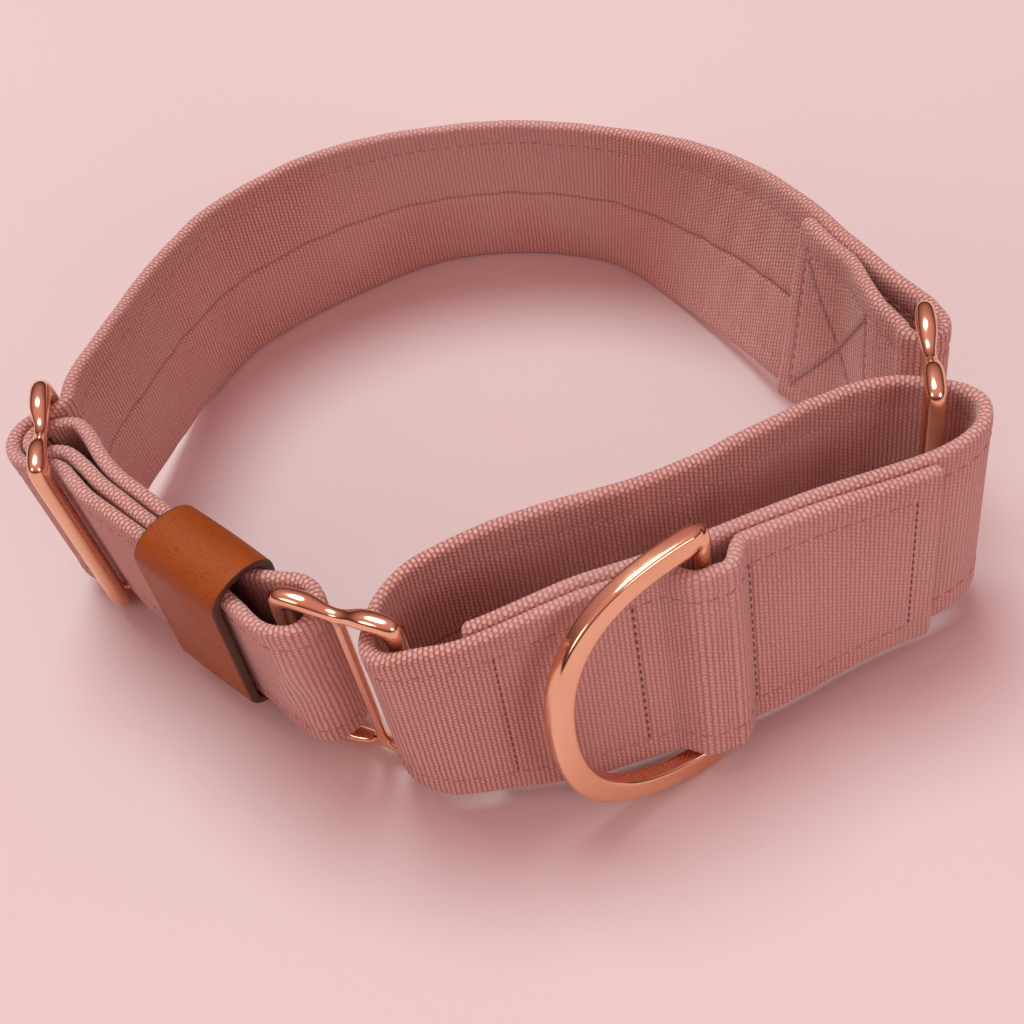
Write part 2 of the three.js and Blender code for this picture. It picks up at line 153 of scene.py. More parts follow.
def smooth_line(points, samples):
    """A centripetal Catmull-Rom curve through the points, as evenly spaced samples."""
    p = np.asarray(points, float)
    p = np.concatenate([[2 * p[0] - p[1]], p, [2 * p[-1] - p[-2]]])
    w = np.linspace(0, 1, 24, endpoint=False)[:, None]
    dense = []
    for a, b, c, d in zip(p, p[1:], p[2:], p[3:]):
        ab, bc, cd = (max(np.linalg.norm(q - r), 1e-8) ** 0.5 for q, r in ((b, a), (c, b), (d, c)))
        out = ((b - a) / ab - (c - a) / (ab + bc) + (c - b) / bc) * bc
        into = ((c - b) / bc - (d - b) / (bc + cd) + (d - c) / cd) * bc
        curve = (-3 * b + 3 * c - 2 * out - into) * w**2 + (2 * b - 2 * c + out + into) * w**3
        dense.append(b + out * w + curve)
    dense = np.concatenate(dense + [p[-2:-1]])
    travelled = np.concatenate([[0], np.cumsum(np.linalg.norm(np.diff(dense, axis=0), axis=1))])
    at = np.linspace(0, travelled[-1], samples + 1)
    return np.stack([np.interp(at, travelled, dense[:, k]) for k in (0, 1)], 1)


def normals(line):
    d = np.gradient(line, axis=0)
    d /= np.linalg.norm(d, axis=1)[:, None]
    return np.stack([-d[:, 1], d[:, 0]], 1)


def side_step(line, distance):
    return line + normals(line) * np.reshape(distance, (-1, 1))


def ramp(value, start, end):
    t = np.clip((value - start) / (end - start), 0, 1)
    return t * t * (3 - 2 * t)


def tab_point(along, inward):
    a = heading(TAB_DEGREES)
    return TAB_START + along * a + inward * np.array([-a[1], a[0]])


def tab_points(*pairs):
    return [tab_point(along, inward) for along, inward in pairs]


P = TAB_PITCH
TAIL = tab_points((16, P), (11, P), (6, P), (1.5, P + 0.2)) + [
    (-56.5, -15.6), (-58.9, -11.7), (-61.8, -8.1)]
TAB_INNER = [(-61.9, -2.1), (-60.1, -2.7), (-58.5, -5.1), (-56.6, -9.9), (-54.3, -14.2)] + (
    tab_points((3, 2 * P + 0.2), (10, 2 * P), (17, 2 * P), (23, 2 * P - 0.1), (27, 2 * P - 0.2)))
TAB_OUTER = tab_points((26, 0), (19, 0), (12, 0), (6, 0), (1.5, 0)) + [
    (-58.6, -17.5), (-60.7, -14.0), (-62.7, -10.9)]
NECK_RUN = [
    (-61.3, 6.3), (-60.1, 9.6), (-57.6, 14.8), (-54.1, 23), (-49.3, 33.5), (-40.7, 44.6),
    (-31.8, 50.3), (-21.5, 54.7), (-4.4, 58.1), (13.5, 56), (28.7, 49.4), (35.7, 43.9),
    (42.1, 36.2), (49.3, 23.2), (54, 11.6), (58, 3), (61.6, -3), (64.9, -9.4), (67.9, -15.3)]
LOOP_INNER = [
    (-7.8, -58.1), (-2.4, -57.6), (3.5, -56.9), (10, -55.9), (17, -54.9), (24, -53.4),
    (30, -52.1), (36, -50.6), (44, -48.3), (52, -46.4), (60, -44.8)]
LOOP_FAR = [
    (65, -42.9), (68.4, -40), (69.3, -36.6), (67.4, -33.7), (63.5, -31.5), (59, -29.8),
    (54.2, -29.7), (48, -31.3), (38.7, -35.2), (28, -39.2), (17.6, -41.4), (6, -42.3),
    (-3, -42.6), (-9.5, -43.9), (-14.7, -46.2), (-18.4, -49.4)]


def main_line():
    parts = [
        TAIL, arc(ADJUSTER["centre"], INNER_WRAP, 270, 90, 9), TAB_INNER,
        arc(FOLD_CENTRE, LOOSE_WRAP, 80, FOLD_END, 12), TAB_OUTER,
        arc(ADJUSTER["centre"], OUTER_WRAP, 268, 92, 11),
        arc(ADJUSTER["first"], BAR_WRAP + 0.1, -78, 0, 5), NECK_RUN]
    run = smooth_line(np.concatenate([np.asarray(p, float) for p in parts]), 310)
    bar, turn = LOOP_SLIDER["last"], LOOP_SLIDER["degrees"]
    fold = arc(bar, BAR_WRAP, turn - 80, turn - 262, 11)
    back = np.cumsum(np.linalg.norm(np.diff(run[::-1], axis=0), axis=1))
    back = np.concatenate([[0], back])
    rows = int(np.sum(back < BOX_LONG))
    spread = -LAYER_PITCH - (2 * BAR_WRAP - LAYER_PITCH) * (1 - ramp(back, 0, 16))
    inside = side_step(run, spread[::-1])[::-1][3:rows]
    return np.concatenate([run, fold, inside])


def inner_run():
    return smooth_line(LOOP_INNER, 70)


def outer_run():
    inner = inner_run()
    away = inner[:, 0] - RING_AXIS[0]
    swell = ramp(away, -TUNNEL_LEFT, -RING_ROOM) * (1 - ramp(away, RING_ROOM, TUNNEL_RIGHT))
    rise = (2 * RING_ROOM + STRAP_THICK - LAYER_PITCH) * swell
    return side_step(inner, -LAYER_PITCH - rise)


def loop_line():
    fold = arc(LOOP_FOLD_CENTRE, LOOSE_WRAP, 150, 255, 8)
    return smooth_line(
        np.concatenate([inner_run(), LOOP_FAR, fold, [(-12.8, -60.4)], outer_run()]), 260)


# ---------- how the straps stand ----------
def lerp(a, b, t):
    return a + (b - a) * t


def settle(points):
    """Leans and lowers upright strap points (x, y, z) as the CAD part does, onto its own origin."""
    x, y, z = points[..., 0], points[..., 1], points[..., 2]
    loop = -0.04 + 0.14 * ramp(x, -12, 10) - 0.1 * ramp(x, 32, 58)
    front = lerp(TAB_LEAN, loop, ramp(x, -26, -12))
    back = -0.12 - 0.13 * ramp(x, -25, 5) + 0.2 * ramp(x, 30, 50)
    side = 0.14 * ramp(x, 20, 50) * ramp(y, -10, 12)
    above = z - MID_HEIGHT
    drop = STRAP_BASE * ramp(y, 6, 42)
    lean = lerp(front, back, ramp(y, 0, 50))
    return np.stack([x + side * above + CENTRE[0], y + lean * above + CENTRE[1], z - drop], -1)


# ---------- straps ----------
RIB = 0.72  # one cross rib of the canvas
ROW = RIB / 3
HALF = STRAP_THICK / 2
STITCH_IN = 14.2  # topstitching, from the strap's middle
ROLL_AT = 16.6  # the thicker strip inside each edge
ROLL_WIDE = 1.5
ROLL_HIGH = 0.1
GROOVE_WIDE = 0.5  # the dip along a row of stitches
GROOVE_DEEP = 0.15
PUCKER_WIDE = 1.6  # the ripple that the stitches pull in
PUCKER_HIGH = 0.05
MIDDLE_WIDE = 0.42  # the seam along the middle of one face, and the swell beside it
MIDDLE_DEEP = 0.42
MIDDLE_SWELL_WIDE = 1.6
MIDDLE_SWELL = 0.08
CROSS_WIDE = 0.5  # seams across the strap
CROSS_DEEP = 0.25
CROSS_SWELL_WIDE = 1.8
CROSS_SWELL = 0.07
CROSS_FADE = 0.8
WAVE_FADE = 4.0  # how far a crumpled stretch takes to rise from flat
WAVES = ((1.0, 0.62, 0.23, 1.1), (0.6, 0.95, -0.31, 0.4))  # share, turns along, up, start
EDGE_CALM = 0.75  # share of the waves that the stiff edges take away
STITCH = 2.3
SEAM_STITCH = 1.6
THREAD_RADIUS = 0.17
RIB_HIGH = 0.03


def hump(distance, wide):
    """A bell-shaped rise, 1 at the middle."""
    return np.exp(-((distance / wide) ** 2))


class Strap:
    """A strap on edge along a plan line: where any point of its surface is."""

    def __init__(self, line, middle_seam):
        rough = smooth_line(line, 4 * len(line))
        self.length = float(np.sum(np.linalg.norm(np.diff(rough, axis=0), axis=1)))
        count = int(round(self.length / ROW))
        self.line = smooth_line(line, count)
        self.out = normals(self.line)
        self.u = np.linspace(0, self.length, count + 1)
        self.middle_seam = middle_seam  # the face with the seam: +1 left, -1 right
        self.cross = []  # (distance along, face, half length) of seams across the strap
        self.waves = []  # (from, to, height) of stretches that are softly crumpled

    def at(self, u, s, t):
        """The point u along, s above the middle, t to the left of the middle surface."""
        x, y = (np.interp(u, self.u, self.line[:, k]) for k in (0, 1))
        nx, ny = (np.interp(u, self.u, self.out[:, k]) for k in (0, 1))
        point = np.stack(np.broadcast_arrays(x + nx * t, y + ny * t, MID_HEIGHT + s), -1)
        return settle(point)

    def nearest(self, x, after):
        """Distance along of the sample whose x is nearest, past a point."""
        error = np.abs(self.line[:, 0] - x) + 1e6 * (self.u < after)
        return float(self.u[np.argmin(error)])

    def closest(self, point):
        """Distance along of the sample closest to a plan point."""
        return float(self.u[np.argmin(np.hypot(*(self.line - point).T))])

    def half_thickness(self, u, s, face):
        """From the middle surface out to one face, with seams, rolled edges and puckers."""
        high = np.abs(s)
        beside = high - STITCH_IN
        h = HALF + ROLL_HIGH * hump(high - ROLL_AT, ROLL_WIDE)
        h = h - GROOVE_DEEP * hump(beside, GROOVE_WIDE)
        h = h + PUCKER_HIGH * np.cos(2 * np.pi * u / STITCH) * hump(beside, PUCKER_WIDE)
        seam = MIDDLE_DEEP * hump(s, MIDDLE_WIDE) - MIDDLE_SWELL * hump(s, MIDDLE_SWELL_WIDE)
        h = h - np.where(face == self.middle_seam, seam, 0)
        for place, side, reach in self.cross:
            dip = CROSS_DEEP * hump(u - place, CROSS_WIDE)
            swell = CROSS_SWELL * hump(u - place, CROSS_SWELL_WIDE)
            h = h - (dip - swell) * (1 - ramp(high, reach, reach + CROSS_FADE)) * (face == side)
        return h

    def crumple(self, u, s):
        """Soft waves of the whole strap, the same on both faces."""
        w = 0 * (u + s)
        for start, end, height in self.waves:
            inside = ramp(u, start, start + WAVE_FADE) * (1 - ramp(u, end - WAVE_FADE, end))
            for share, along, up, start_at in WAVES:
                w = w + height * inside * share * np.sin(along * u + up * s + start_at)
        return w * (1 - EDGE_CALM * (s / (STRAP_WIDTH / 2)) ** 2)


FACE_S = np.array([0, 0.35, 0.9, 3, 5.5, 8, 10.5, 12.6, 13.6, 14.2, 14.8, 15.8, 17, 17.95])
EDGE_STEPS = 6
END_CORNER = 1.3  # rounding of a strap end's two corners
THINNEST = 0.04  # square of the share of thickness left at a strap's very end
EDGE_SWELL = 0.05


def section():
    """Round a strap's section: (height, face, angle round the edge, edge) for each point."""
    s = np.concatenate([-FACE_S[:0:-1], FACE_S])
    round_edge = np.arange(1, EDGE_STEPS) * math.pi / EDGE_STEPS
    rows = [(v, 1, 0.0, 0) for v in s]
    rows += [(0, 0, a, 1) for a in round_edge]
    rows += [(v, -1, 0.0, 0) for v in s[::-1]]
    rows += [(0, 0, a, -1) for a in round_edge]
    return np.array(rows)


def mesh_object(name, vertices, faces, materials, uv=None, smooth=True, indices=None):
    """A linked object made of points in millimetres; indices are its faces' material slots."""
    mesh = bpy.data.meshes.new(name)
    mesh.from_pydata((np.asarray(vertices) * MM).tolist(), [], [list(map(int, f)) for f in faces])
    if uv is not None:
        layer = mesh.uv_layers.new(name="cloth")
        layer.data.foreach_set("uv", np.asarray(uv, np.float32).ravel())
    for material in materials:
        mesh.materials.append(material)
    if indices is not None:
        mesh.polygons.foreach_set("material_index", np.asarray(indices, np.int32))
    mesh.polygons.foreach_set("use_smooth", np.full(len(mesh.polygons), smooth))
    mesh.update()
    piece = bpy.data.objects.new(name, mesh)
    bpy.context.scene.collection.objects.link(piece)
    return piece


def grid_faces(rows, ring):
    """Quads of an open tube of rings, with each quad's row and place in the ring."""
    i, k = np.meshgrid(np.arange(rows - 1), np.arange(ring), indexing="ij")
    n = (k + 1) % ring
    quads = np.stack([i * ring + k, i * ring + n, (i + 1) * ring + n, (i + 1) * ring + k], -1)
    return quads.reshape(-1, 4), i, k


def closed_quads(rows, ring):
    """Quads of a tube of rings whose last ring joins its first."""
    i, k = np.meshgrid(np.arange(rows), np.arange(ring), indexing="ij")
    j, m = (i + 1) % rows, (k + 1) % ring
    return np.stack([i * ring + k, i * ring + m, j * ring + m, j * ring + k], -1).reshape(-1, 4)


def strap_mesh(name, strap, materials):
    profile = section()
    u = strap.u[:, None]
    end = np.minimum(u, strap.length - u)
    blunt = np.clip(end / HALF, 0, 1)
    thin = np.sqrt(np.clip(1 - (1 - blunt) ** 2, THINNEST, 1))  # a rounded, folded-in end
    near_end = np.clip(end / END_CORNER, 0, 1)
    corner = END_CORNER * (1 - np.sqrt(np.clip(1 - (1 - near_end) ** 2, 0, 1)))
    rib = -RIB_HIGH * np.cos(2 * np.pi * u / RIB)
    s, face, turn, edge = (profile[None, :, k] for k in range(4))
    s = s * (1 - corner / (STRAP_WIDTH / 2))
    flat = face != 0
    out = (strap.half_thickness(u, s, face) + rib) * thin
    edge_out = (HALF + EDGE_SWELL + rib) * thin
    core = (STRAP_WIDTH / 2 - HALF - corner) * edge
    t = np.where(flat, face * out, edge * edge_out * np.cos(turn))
    height = np.where(flat, s, core + edge * (HALF + rib) * np.sin(turn))
    vertices = strap.at(u, height, t + strap.crumple(u, height)).reshape(-1, 3)
    rows, ring = len(strap.u), profile.shape[0]
    quads, i, k = grid_faces(rows, ring)
    around = np.concatenate([profile[:, 0], [profile[0, 0]]])
    turns = np.concatenate([profile[:, 2], [0]]) * HALF
    kinds = np.concatenate([profile[:, 1], [1]])
    bends = np.concatenate([profile[:, 3], [0]])
    arc_long = math.pi * HALF
    wide = 2 * FACE_S[-1]
    v = np.where(kinds == 1, around + wide / 2,
                 np.where(kinds == -1, wide + arc_long + wide / 2 - around,
                          np.where(bends == 1, wide + turns, 2 * wide + arc_long + turns)))
    v[-1] = 2 * (wide + arc_long)
    corners = np.stack([
        np.stack([strap.u[i + a], v[k + b]], -1) for a, b in ((0, 0), (0, 1), (1, 1), (1, 0))], -2)
    first, last = (np.stack([np.full(ring, strap.u[j]), v[:ring]], -1) for j in (0, -1))
    uv = np.concatenate([corners[..., ::-1, :].reshape(-1, 2), first, last[::-1]])
    caps = [list(range(ring)), list(range((rows - 1) * ring, rows * ring))[::-1]]
    return mesh_object(name, vertices, quads[:, ::-1].tolist() + caps, materials, uv)


# ---------- stitches ----------
SIDES = 6
PROBE = 0.1  # a short step off the face, to find its direction
STITCH_GAP = 0.07  # share of a stitch that is hole, at each of its ends
STITCH_LIFT = np.array([-0.32, -0.06, 0.05, 0.09, 0.05, -0.06, -0.32])
STITCH_FULL = np.array([0.55, 0.95, 1.0, 1.05, 1.0, 0.95, 0.55])
RINGS = len(STITCH_LIFT)


def stitch_mesh(name, strap, rows, material, pitch=STITCH):
    """Separate stitches along rows of (u, s) to (u, s) on a face. Each dips in at both ends."""
    starts, ends, faces = [], [], []
    for (u0, s0), (u1, s1), face in rows:
        count = max(1, int(round(math.hypot(u1 - u0, s1 - s0) / pitch)))
        k = np.arange(count)
        a, b = (k + STITCH_GAP) / count, (k + 1 - STITCH_GAP) / count
        starts += list(zip(lerp(u0, u1, a), lerp(s0, s1, a)))
        ends += list(zip(lerp(u0, u1, b), lerp(s0, s1, b)))
        faces += [face] * count
    starts, ends = np.array(starts), np.array(ends)
    face = np.array(faces, float)[:, None]
    t = np.linspace(0, 1, RINGS)[None, :]
    u = lerp(starts[:, :1], ends[:, :1], t)
    s = lerp(starts[:, 1:], ends[:, 1:], t)
    thick = STITCH_FULL[None, :, None, None] * THREAD_RADIUS
    base = strap.half_thickness(u, s, face) + STITCH_LIFT
    wave = strap.crumple(u, s)
    centre = strap.at(u, s, face * base + wave)
    normal = strap.at(u, s, face * (base + PROBE) + wave) - centre
    normal /= np.linalg.norm(normal, axis=-1, keepdims=True)
    along = np.gradient(centre, axis=1)
    along /= np.linalg.norm(along, axis=-1, keepdims=True)
    across = np.cross(along, normal)
    angle = 2 * np.pi * np.arange(SIDES) / SIDES
    ring = (across[:, :, None, :] * np.cos(angle)[None, None, :, None]
            + normal[:, :, None, :] * np.sin(angle)[None, None, :, None])
    points = centre[:, :, None, :] + ring * thick
    quads, _, _ = grid_faces(RINGS, SIDES)
    per = RINGS * SIDES
    cap_a = list(range(SIDES))[::-1]
    cap_b = list(range(per - SIDES, per))
    polygons = []
    for j in range(len(points)):
        polygons += (quads + j * per).tolist()
        polygons += [[p + j * per for p in cap_a], [p + j * per for p in cap_b]]
    return mesh_object(name, points.reshape(-1, 3), polygons, [material])


def topstitch_rows(start, end, faces=(1, -1)):
    """A row along each edge of each face, from start to end along the strap."""
    return [((start, s), (end, s), f) for f in faces for s in (-STITCH_IN, STITCH_IN)]


# ---------- materials ----------
class Nodes:
    """A material's node tree with short ways to add and join nodes."""

    def __init__(self, name):
        self.material = bpy.data.materials.new(name)
        self.material.use_nodes = True
        self.tree = self.material.node_tree
        self.shader = self.tree.nodes["Principled BSDF"]

    def node(self, kind, **values):
        node = self.tree.nodes.new(kind)
        for key, value in values.items():
            setattr(node, key, value)
        return node

    def put(self, socket, value):
        if isinstance(value, bpy.types.NodeSocket):
            self.tree.links.new(value, socket)
        else:
            socket.default_value = value

    def math(self, operation, a, b=None, c=None):
        node = self.node("ShaderNodeMath", operation=operation)
        for k, value in enumerate((a, b, c)):
            if value is not None:
                self.put(node.inputs[k], value)
        return node.outputs[0]

    def mix(self, factor, a, b):
        node = self.node("ShaderNodeMix", data_type="RGBA")
        for k, value in ((0, factor), (6, a), (7, b)):
            self.put(node.inputs[k], value)
        return node.outputs[2]

    def noise(self, vector, scale, detail=2.0, rough=0.5):
        node = self.node("ShaderNodeTexNoise")
        self.put(node.inputs["Vector"], vector)
        node.inputs["Scale"].default_value = scale
        node.inputs["Detail"].default_value = detail
        node.inputs["Roughness"].default_value = rough
        return node.outputs["Fac"]

    def spread(self, value, low, high, to_low=0.0, to_high=1.0):
        node = self.node("ShaderNodeMapRange", interpolation_type="SMOOTHSTEP")
        for k, v in enumerate((value, low, high, to_low, to_high)):
            self.put(node.inputs[k], v)
        return node.outputs[0]

    def bump(self, height, distance, strength=1.0, normal=None):
        node = self.node("ShaderNodeBump")
        node.inputs["Strength"].default_value = strength
        node.inputs["Distance"].default_value = distance
        self.put(node.inputs["Height"], height)
        if normal is not None:
            self.put(node.inputs["Normal"], normal)
        return node.outputs["Normal"]

    def place(self):
        return self.node("ShaderNodeTexCoord").outputs["Object"]

    def set(self, **values):
        for key, value in values.items():
            self.put(self.shader.inputs[key.replace("_", " ")], value)


def rgb(r, g, b):
    return (r, g, b, 1.0)


# Linear colours.
WEAVE_PAINTED_SHADE = rgb(0.42, 0.115, 0.090)  # painted shade in the hollows between the beads of the weave
CANVAS_CREST = rgb(0.77, 0.425, 0.370)
CANVAS_BLOTCH = rgb(0.54, 0.235, 0.21)
CANVAS_FADED = rgb(0.74, 0.44, 0.42)
CANVAS_FLUFF = rgb(0.84, 0.52, 0.47)
CANVAS_SHEEN = rgb(1.0, 0.82, 0.80)
# painted shade in the groove of the seam along the middle
SEAM_PAINTED_SHADE = rgb(0.20, 0.06, 0.055)
# painted shade in the grooves of the sewn lines across the strap
CROSS_PAINTED_SHADE = rgb(0.20, 0.06, 0.06)
THREAD_MAUVE = (0.62, 0.30, 0.27)
THREAD_MAROON = (0.28, 0.075, 0.07)
GOLD = rgb(0.92, 0.55, 0.36)
GOLD_WORN = rgb(0.88, 0.49, 0.305)
LEATHER_DARK = rgb(0.29, 0.046, 0.003)
LEATHER_LIGHT = rgb(0.46, 0.090, 0.006)
LEATHER_CREASE = rgb(0.24, 0.05, 0.010)
LEATHER_PORE = rgb(0.14, 0.030, 0.008)
EDGE_DARK = rgb(0.045, 0.018, 0.010)
EDGE_LIGHT = rgb(0.12, 0.045, 0.020)
PAPER_DARK = rgb(0.76, 0.58, 0.575)
PAPER_LIGHT = rgb(0.78, 0.60, 0.595)

BEAD = 0.8  # one bead of the weave along a rib


def weave(n, u, v):
    """Height of a plain weave: round ribs across the strap, each a row of beads."""
    column = n.math("DIVIDE", u, RIB)
    whole = n.math("FLOOR", column)
    rib = n.math("SINE", n.math("MULTIPLY", n.math("FRACT", column), math.pi))
    odd = n.math("MULTIPLY", n.math("MODULO", whole, 2.0), 0.5)
    bead = n.math("FRACT", n.math("ADD", n.math("DIVIDE", v, BEAD), odd))
    bead = n.math("SINE", n.math("MULTIPLY", bead, math.pi))
    return n.math("MULTIPLY", rib, n.math("MULTIPLY_ADD", bead, 0.7, 0.3))


def canvas_material(name, middle, cross_lines=()):
    """Woven canvas, with painted shade in the hollows of its weave, along a seam line at v =
    middle, and along sewn lines a * u + b * v + c = 0 that reach to both sides of u_mid."""
    n = Nodes(name)
    uv = n.node("ShaderNodeUVMap", uv_map="cloth").outputs[0]
    parts = n.node("ShaderNodeSeparateXYZ")
    n.put(parts.inputs[0], uv)
    place = n.place()
    stray = n.math("SUBTRACT", n.noise(uv, 0.8, 3.0), 0.5)
    u = n.math("MULTIPLY_ADD", stray, 0.35, parts.outputs[0])
    v = n.math("MULTIPLY_ADD", stray, 0.7, parts.outputs[1])
    height = weave(n, u, v)
    fibre = n.noise(uv, 7.0, 2.0, 0.7)
    relief = n.math("MULTIPLY_ADD", fibre, 0.22, height)
    blotch = n.noise(place, 60.0, 3.0, 0.6)
    # painted shade: the weave's hollows darker than its crests
    colour = n.mix(n.spread(height, 0.1, 0.75), WEAVE_PAINTED_SHADE, CANVAS_CREST)
    colour = n.mix(n.spread(blotch, 0.35, 0.7, 0.0, 0.3), colour, CANVAS_BLOTCH)
    faded = n.noise(place, 22.0, 2.0, 0.5)
    colour = n.mix(n.spread(faded, 0.4, 0.7, 0.0, 0.35), colour, CANVAS_FADED)
    colour = n.mix(n.spread(fibre, 0.5, 0.8, 0.0, 0.3), colour, CANVAS_FLUFF)
    # painted shade darkens the groove of the seam along the middle
    from_middle = n.math("ABSOLUTE", n.math("SUBTRACT", parts.outputs[1], middle))
    seam = n.spread(from_middle, 0.12, 0.6, 1.0, 0.0)
    colour = n.mix(n.math("MULTIPLY", seam, 0.38), colour, SEAM_PAINTED_SHADE)
    grooves = []
    for a, b, c, u_mid, reach in cross_lines:
        line = n.math("MULTIPLY_ADD", parts.outputs[0], a, c)
        line = n.math("ABSOLUTE", n.math("MULTIPLY_ADD", parts.outputs[1], b, line))
        away = n.math("ABSOLUTE", n.math("SUBTRACT", parts.outputs[0], u_mid))
        inside = n.math("LESS_THAN", away, reach)
        grooves.append(n.math("MULTIPLY", n.spread(line, 0.15, 0.8, 1.0, 0.0), inside))
    if grooves:
        groove = n.math("MAXIMUM", *grooves)
        relief = n.math("SUBTRACT", relief, n.math("MULTIPLY", groove, 2.6))
        # the sewn grooves are sunk by bump and darkened with painted shade
        colour = n.mix(n.math("MULTIPLY", groove, 0.35), colour, CROSS_PAINTED_SHADE)
    n.set(Base_Color=colour, Normal=n.bump(relief, 0.00018, 1.0),
          Roughness=n.spread(height, 0, 1, 0.95, 0.8))
    n.shader.inputs["Sheen Weight"].default_value = 0.35
    n.shader.inputs["Sheen Roughness"].default_value = 0.5
    n.shader.inputs["Sheen Tint"].default_value = CANVAS_SHEEN
    n.shader.inputs["Specular IOR Level"].default_value = 0.25
    return n.material


def thread_material(name, colour):
    n = Nodes(name)
    place = n.place()
    twist = n.node("ShaderNodeTexWave", wave_type="BANDS", bands_direction="DIAGONAL")
    n.put(twist.inputs["Vector"], place)
    twist.inputs["Scale"].default_value = 900.0
    twist.inputs["Distortion"].default_value = 1.5
    shade = n.mix(twist.outputs["Fac"], rgb(*[c * 0.65 for c in colour]), rgb(*colour))
    n.set(Base_Color=shade, Normal=n.bump(twist.outputs["Fac"], 0.00006, 0.8))
    n.shader.inputs["Roughness"].default_value = 0.7
    n.shader.inputs["Sheen Weight"].default_value = 0.3
    return n.material


def gold_material():
    n = Nodes("rose_gold")
    place = n.place()
    haze = n.noise(place, 140.0, 4.0, 0.6)
    fine = n.noise(place, 900.0, 2.0, 0.6)
    wear = n.spread(n.noise(place, 45.0, 3.0), 0.45, 0.75)
    colour = n.mix(wear, GOLD, GOLD_WORN)
    rough = n.math("ADD", n.spread(haze, 0.3, 0.75, 0.10, 0.18), n.math("MULTIPLY", fine, 0.03))
    n.set(Base_Color=colour, Roughness=rough, Normal=n.bump(haze, 0.00004, 0.25))
    n.shader.inputs["Metallic"].default_value = 1.0
    return n.material


def leather_material():
    n = Nodes("tan_leather")
    place = n.place()
    cells = n.node("ShaderNodeTexVoronoi", feature="DISTANCE_TO_EDGE")
    n.put(cells.inputs["Vector"], place)
    cells.inputs["Scale"].default_value = 2300.0
    grain = n.spread(cells.outputs["Distance"], 0.0, 0.28)
    pores = n.spread(n.noise(place, 2600.0, 2.0, 0.6), 0.30, 0.45)
    blotch = n.noise(place, 110.0, 4.0, 0.6)
    colour = n.mix(blotch, LEATHER_DARK, LEATHER_LIGHT)
    creases = n.math("MULTIPLY", n.math("SUBTRACT", 1.0, grain), 0.45)
    colour = n.mix(creases, colour, LEATHER_CREASE)
    colour = n.mix(n.math("MULTIPLY", n.math("SUBTRACT", 1.0, pores), 0.6), colour, LEATHER_PORE)
    height = n.math("MULTIPLY_ADD", pores, 0.5, grain)
    n.set(Base_Color=colour, Normal=n.bump(height, 0.00005, 0.6),
          Roughness=n.spread(blotch, 0.3, 0.7, 0.42, 0.56))
    n.shader.inputs["Specular IOR Level"].default_value = 0.2
    return n.material


def leather_edge_material():
    n = Nodes("leather_edge")
    place = n.place()
    layers = n.noise(place, 1500.0, 3.0, 0.7)
    colour = n.mix(layers, EDGE_DARK, EDGE_LIGHT)
    n.set(Base_Color=colour, Normal=n.bump(layers, 0.0001, 0.7))
    n.shader.inputs["Roughness"].default_value = 0.6
    return n.material


# ---------- build the straps ----------
main = Strap(main_line(), -1)
loop = Strap(loop_line(), 1)
# The loop's cross seams are all on the outside of its outer layer, past the middle slider's fold.
seam_places = [loop.nearest(x, after=loop.length / 2 + 30) for x in SEAM_X]
loop.cross = [(u, -1, STITCH_IN) for u in seam_places]
loop.waves = [(loop.length * 0.36, loop.length * 0.54, 0.15)]
box_start, box_end = (main.length - back for back in reversed(END_SEAM_BACK))
main.cross = [(box_start, 1, STITCH_IN), (box_end, 1, STITCH_IN)]
fold_out = main.closest(FOLD_CENTRE + LOOSE_WRAP * heading(FOLD_END))
tab_out = main.closest(tab_point(27, 0))  # where the tab comes out of the keeper
main.waves = [
    (fold_out - 10, tab_out - 1.5, 0.32), (tab_out + 70, main.length - 75, 0.13)]

LEFT_MIDDLE = FACE_S[-1]  # v along the middle of the left face, and of the right face
RIGHT_MIDDLE = 3 * FACE_S[-1] + math.pi * HALF
box_mid = (box_start + box_end) / 2
slope = (2 * STITCH_IN) / (box_end - box_start)
size = math.hypot(slope, 1)
diagonals = [
    (k * slope / size, 1 / size, (-k * slope * box_mid - LEFT_MIDDLE) / size, box_mid,
     (box_end - box_start) / 2) for k in (1, -1)]

canvas_main = canvas_material("canvas_main", RIGHT_MIDDLE, diagonals)
canvas_loop = canvas_material("canvas_loop", LEFT_MIDDLE)
thread_soft = thread_material("thread_mauve", THREAD_MAUVE)
thread_dark = thread_material("thread_maroon", THREAD_MAROON)
gold = gold_material()


def bend_with_tab(piece):
    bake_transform(piece)


main_piece = strap_mesh("neck_and_tab_webbing", main, [canvas_main])
bend_with_tab(main_piece)
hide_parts("neck_band", "adjuster_strap")
neck_rows = topstitch_rows(4, main.length - 3, (1,))
neck_rows.append(((4, STITCH_IN), (main.length - 3, STITCH_IN), -1))
main_stitch = stitch_mesh("neck_topstitching", main, neck_rows, thread_soft)
bend_with_tab(main_stitch)

box_rows = [
    ((box_start, -STITCH_IN), (box_end, STITCH_IN), 1),
    ((box_start, STITCH_IN), (box_end, -STITCH_IN), 1),
    ((box_start, -STITCH_IN), (box_start, STITCH_IN), 1),
    ((box_end, -STITCH_IN), (box_end, STITCH_IN), 1)]
box_stitch = stitch_mesh("box_cross_stitching", main, box_rows, thread_soft)
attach(box_stitch, "neck")
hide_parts("band_end_seam", "band_fold_seam")

